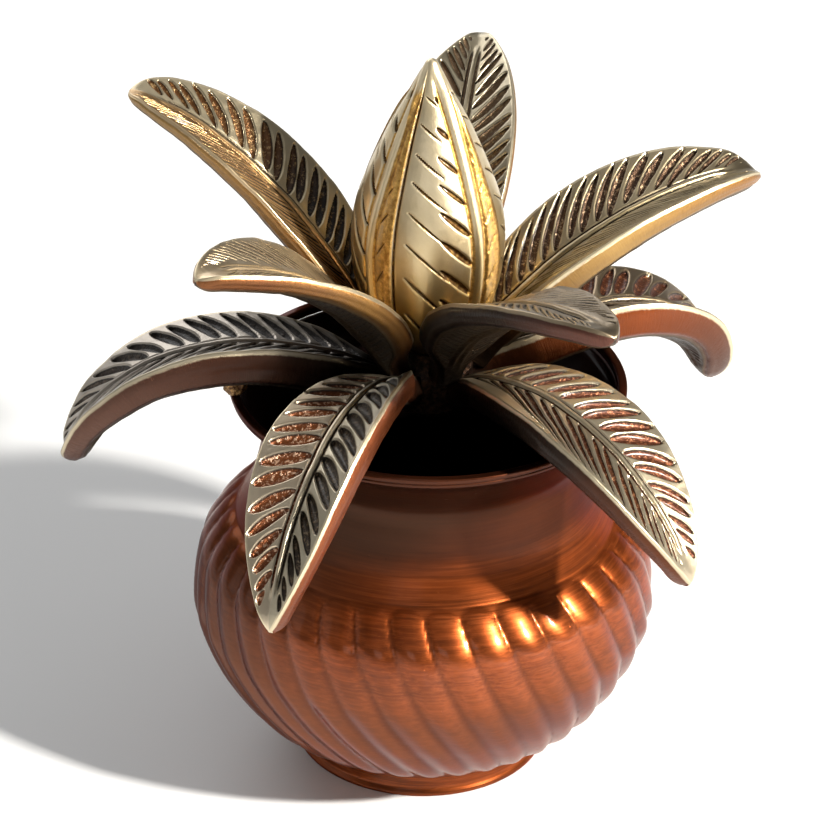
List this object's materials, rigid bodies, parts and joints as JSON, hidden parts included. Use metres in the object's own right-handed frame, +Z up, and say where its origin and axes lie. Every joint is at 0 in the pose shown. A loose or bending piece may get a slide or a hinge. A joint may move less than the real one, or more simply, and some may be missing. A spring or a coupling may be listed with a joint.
{
  "type": "kalash",
  "caption": "Swirl-fluted round pot on a foot ring, with a crown of cast leaves in two tiers around a closed bud over its open mouth.",
  "frame": {"origin": "on the pot's axis, in the plane that the pot stands on, at the middle of its flat base", "axes": "+Z up along the pot's axis, -Y towards the front as pictured, +X to the right of the picture"},
  "size_m": [0.1797, 0.1746, 0.1977],
  "materials": {
    "pot_copper": "lacquered antique copper over spun sheet, fine spinning lines, glossy",
    "foot_copper": "lacquered antique copper, rubbed brighter",
    "leaf_brass": "cast brass, faces polished pale, carved veins filled with dark patina",
    "leaf_copper": "cast brass, faces polished pale, veins and side walls in coppery brown lacquer",
    "bud_brass": "cast brass, polished golden, brown creases",
    "braze": "rough braze metal"
  },
  "bodies": {
    "root": {"pot_body": "pot_copper", "foot_ring": "foot_copper", "rim_ring": "pot_copper", "crown_hub": "leaf_copper", "center_bud": "bud_brass", "upper_leaf_1": "leaf_brass", "upper_leaf_2": "leaf_brass", "upper_leaf_3": "leaf_brass", "upper_leaf_4": "leaf_brass", "upper_leaf_5": "leaf_brass", "lower_leaf_1": "leaf_copper", "lower_leaf_2": "leaf_copper", "lower_leaf_3": "leaf_copper", "lower_leaf_4": "leaf_copper", "lower_leaf_5": "leaf_copper", "braze_tack_1": "braze", "braze_tack_2": "braze", "braze_tack_3": "braze", "braze_tack_4": "braze", "braze_tack_5": "braze"}
  },
  "joints": []
}
